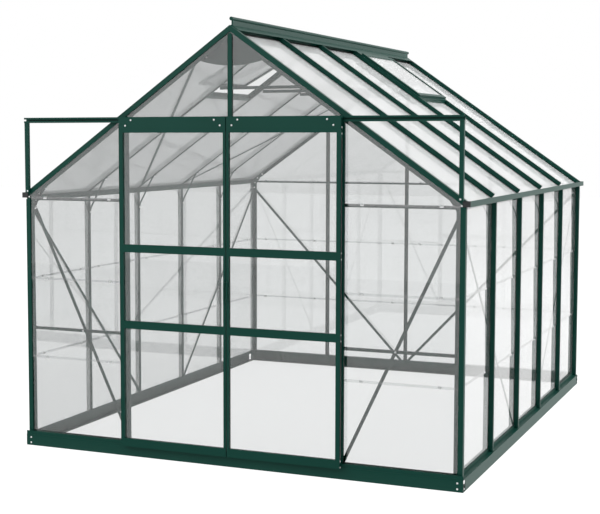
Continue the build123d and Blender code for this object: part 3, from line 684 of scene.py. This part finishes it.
ridge_cap = new_piece("ridge_cap", ridge_cap_shape(), paint)
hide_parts("ridge")
new_piece("ridge_seals", ridge_seal_shape(), black_rubber)

# Knee struts: short straps between wall bar and roof bar
knee_leg = 0.100
knee_flange = 0.028
knee_thickness = 0.004
knee_width = 0.014
knee_bend = 0.022
knee_foot_z = eaves_floor - knee_leg


def knee_strut_shape():
    """Strap at each inner bar, flat on both bars with rounded bends between.

    Its path is (height, way out from the wall's inside) at the middle of its thickness.
    """
    strap_depth = frame_depth + knee_thickness / 2
    path = [(knee_foot_z - knee_flange, -knee_thickness / 2), (knee_foot_z, -knee_thickness / 2)]
    for distance in (knee_leg, knee_leg + knee_flange):
        x = inner_x - distance * math.cos(roof_pitch)
        height = roof_height(x) - strap_depth * math.cos(roof_pitch)
        path.append((height, x - strap_depth * math.sin(roof_pitch) - inner_x))
    knee = strip(rounded(path, knee_bend), knee_width, knee_thickness)
    return joined(
        [placed(knee, [(side * inner_x, y, 0) for y in inner_bars], (side, 0, 0)) for side in (-1, 1)]
    )


knee_struts = new_piece("short_knee_struts", knee_strut_shape(), paint)
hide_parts("knee_struts")


# Sides of washers, bolt heads and screws, and points up a screw's dome
washer_sides = 20
head_sides = 6
screw_sides = 16
dome_points = 5


def hexagon_bolt(washer, head):
    """Round washer under a six-sided head, each a turned (radius, height) profile."""
    return joined([turned(washer, washer_sides), turned(head, head_sides)])


def domed_screw(flat, dome_reach, dome_height):
    """Screw head whose profile is (flat + dome_reach * cos a, dome_height * sin a)."""
    angle = np.linspace(0, np.pi / 2, dome_points)
    profile = np.stack([flat + dome_reach * np.cos(angle), dome_height * np.sin(angle)], axis=1)
    return turned(profile, screw_sides)


# Bolt with a chamfered washer and head, a lower one, and a domed screw
bolt = hexagon_bolt(
    washer=[(0.0062, 0), (0.0062, 0.0009), (0.0056, 0.0013)],
    head=[(0.0048, 0.0013), (0.0048, 0.0042), (0.0040, 0.0049)],
)
low_bolt = hexagon_bolt(
    washer=[(0.0058, 0), (0.0058, 0.0006)],
    head=[(0.0046, 0.0006), (0.0046, 0.0026), (0.0038, 0.0031)],
)
screw = domed_screw(flat=0.0024, dome_reach=0.0028, dome_height=0.0022)

# Door screws: two at each end of the top rail, given as (way in, drop) from its outer top
# corner, and pairs into the rails through the outer stile
doors = ((-1, "left_door"), (1, "right_door"))
outer_screws = ((0.0415, 0.047), (0.0755, 0.0175))
top_rail_middle = 0.325
rail_middles = (0.0845, 0.7405, 1.161, 1.800)
rail_screw_step = 0.016


def door_screw_shape(side, door):
    """Screws on the face of a door's top rail and on the edge of its outer stile."""
    rails_low, rails_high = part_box(f"{door}_rails")
    edge_x = max(abs(rails_low.x), abs(rails_high.x))
    middle_y = (rails_low.y + rails_high.y) / 2
    inner_screws = tuple((2 * top_rail_middle - way_in, drop) for way_in, drop in outer_screws)
    face_places = [
        (side * (edge_x - way_in), rails_low.y, rails_high.z - drop)
        for way_in, drop in outer_screws + inner_screws
    ]
    edge_places = [
        (side * edge_x, middle_y, middle + step)
        for middle in rail_middles
        for step in (-rail_screw_step, rail_screw_step)
    ]
    return joined([placed(screw, face_places, (0, -1, 0)), placed(screw, edge_places, (side, 0, 0))])


# Rubber seal along the outer edge of each door
door_seal_thickness = 0.0012
door_seal_inset = 0.003
door_seal_foot = 0.05
door_seal_head = 0.03


def door_seal_shape(side, door):
    """Flat strip up the edge of a door's outer stile, short of its foot and head."""
    stiles_low, stiles_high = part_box(f"{door}_stiles")
    edge_x = max(abs(stiles_low.x), abs(stiles_high.x)) + door_seal_thickness / 2
    middle = (side * edge_x, (stiles_low.y + stiles_high.y) / 2, 0)
    run = [(stiles_low.z + door_seal_foot, 0), (stiles_high.z - door_seal_head, 0)]
    width = stiles_high.y - stiles_low.y - 2 * door_seal_inset
    return placed(strip(run, width, door_seal_thickness), middle, (side, 0, 0))


for side, door in doors:
    new_piece(f"{door}_screws", door_screw_shape(side, door), bright_zinc, door, smooth=True)
for side, door in doors:
    new_piece(f"{door}_seal", door_seal_shape(side, door), black_rubber, door)

# Places of the frame's screws and bolts
track_leg_screw_x = 1.2535
track_leg_screw_rise = 0.009
base_screw_x = 1.2550
base_screw_heights = (0.046, 0.016)
base_screw_inset = 0.017
sill_screw_x = 1.2350
sill_screw_z = 0.0725
eaves_screw_x = 1.2560
eaves_screw_drop = 0.0245
front_rail_bolts_x = (0.918, 1.236, 0.650)
front_rail_bolt_z = 0.679


def outside_screws():
    """Screws through the track legs, base, sills and eaves, and bolts of the low front rails."""
    leg_low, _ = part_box("track_supports")
    base_low, base_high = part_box("base_front")
    rail_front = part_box("front_rails")[0].y
    track_legs = [(track_leg_screw_x, leg_low.y, eaves_z + track_leg_screw_rise)]
    base_front = [(base_screw_x, base_low.y, z) for z in base_screw_heights]
    front_posts, back_posts = (
        [(sill_screw_x, y, sill_screw_z), (eaves_screw_x, y, eaves_z - eaves_screw_drop)]
        for y in (front_y, back_y)
    )
    front_rails = [(x, rail_front, front_rail_bolt_z) for x in front_rail_bolts_x]
    base_ends = (base_low.y + base_screw_inset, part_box("base_back")[1].y - base_screw_inset)
    corner_sides = np.array([(base_high.x, y, z) for y in base_ends for z in base_screw_heights])
    return [
        placed(screw, both_sides(track_legs + base_front + front_posts), (0, -1, 0)),
        placed(low_bolt, both_sides(front_rails), (0, -1, 0)),
        placed(screw, both_sides(back_posts), (0, 1, 0)),
        placed(screw, corner_sides, (1, 0, 0)),
        placed(screw, corner_sides * (-1, 1, 1), (-1, 0, 0)),
    ]


# Places (x, z) of the bolts of the gusset plates at the corners and at the apex
corner_gusset_bolts = [(1.236, 1.372), (1.232, 1.411), (1.210, 1.447), (1.170, 1.478)]
apex_gusset_bolts = [(0.060, 2.262), (0.150, 2.190)]


def gusset_bolts():
    """Bolts of the gusset plates: low heads outside, nuts inside."""
    bolts = []
    for y, inward in ((front_in, 1), (back_in, -1)):
        heads = both_sides([(x, y, z) for x, z in corner_gusset_bolts + apex_gusset_bolts])
        bolts.append(placed(low_bolt, heads, (0, -inward, 0)))
        bolts.append(placed(bolt, heads + (0, inward * gusset_thickness, 0), (0, inward, 0)))
    return bolts


def knee_bolts():
    """Bolts through the flanges of the knee struts into wall bars and roof bars."""
    wall_z = knee_foot_z - knee_flange / 2
    top_x = inner_x - (knee_leg + knee_flange / 2) * math.cos(roof_pitch)
    bolts = []
    for side in (-1, 1):
        wall_places = [(side * (inner_x - knee_thickness), y, wall_z) for y in inner_bars]
        bolts.append(placed(bolt, wall_places, (-side, 0, 0)))
        bar_place = np.array([side * top_x, 0, roof_height(top_x)])
        strap_place = bar_place - (frame_depth + knee_thickness) * roof_out(side)
        bolts.append(placed(bolt, [strap_place + (0, y, 0) for y in inner_bars], -roof_out(side)))
    return bolts


frame_bolts = outside_screws() + gusset_bolts() + knee_bolts()
new_piece("frame_bolts", joined(frame_bolts), bright_zinc)

# Spring clips that hold the panes together at every lap, two to a bay
clip_width = 0.020
clip_metal = 0.00025
clip_hook = 0.006
clip_play = 0.0004
clip_inset = 0.107


def lap_clip(seat):
    """Spring strip in an S: hooks the foot of the upper pane and the head of the lower one.

    Its path is (height over the upper pane's foot, way out), with its three runs in front of
    both panes, between them and behind both. seat is the depth that the panes lie on.
    """
    outer = 2 * (glass_thickness + glass_gap) + clip_metal / 2 - seat
    between = glass_thickness + 1.5 * glass_gap - seat
    inner = glass_gap - clip_metal / 2 - seat
    head = glass_lap + clip_play
    path = [
        (clip_hook, outer),
        (-clip_play, outer),
        (-clip_play, between),
        (head, between),
        (head, inner),
        (clip_hook, inner),
    ]
    return strip(path, clip_width, clip_metal)


def clip_places(edges):
    """Two clips in each bay, the inset in from its edges."""
    bays = zip(edges[:-1], edges[1:])
    return np.concatenate([(low + clip_inset, high - clip_inset) for low, high in bays])


def lap_clip_shape():
    """Clips on every lap of the walls, the roof and the gables' fixed bays."""
    wall_clip, gable_clip = lap_clip(wall_seat), lap_clip(gable_seat)
    gable_laps = (*lap_heights, eaves_z - eaves_lap_drop)
    roof_lap_x = roof_lap_place * math.cos(roof_pitch)
    clips = []
    for side in (-1, 1):
        on_wall = [(side * wall_x, y, z) for z in lap_heights for y in clip_places(side_places)]
        clips.append(placed(wall_clip, on_wall, (side, 0, 0)))
        on_roof = [(side * roof_lap_x, y, roof_height(roof_lap_x)) for y in clip_places(side_places)]
        clips.append(placed(wall_clip, on_roof, roof_out(side)))
        beside_doors = clip_places(gable_places[-2:])
        on_front = [(side * x, front_y, z) for z in gable_laps for x in beside_doors]
        clips.append(placed(gable_clip, on_front, (0, -1, 0)))
    on_back = [(x, back_y, z) for z in gable_laps for x in clip_places(gable_places)]
    clips.append(placed(gable_clip, on_back, (0, 1, 0)))
    return joined(clips)


new_piece("lap_clips", lap_clip_shape(), bright_zinc)
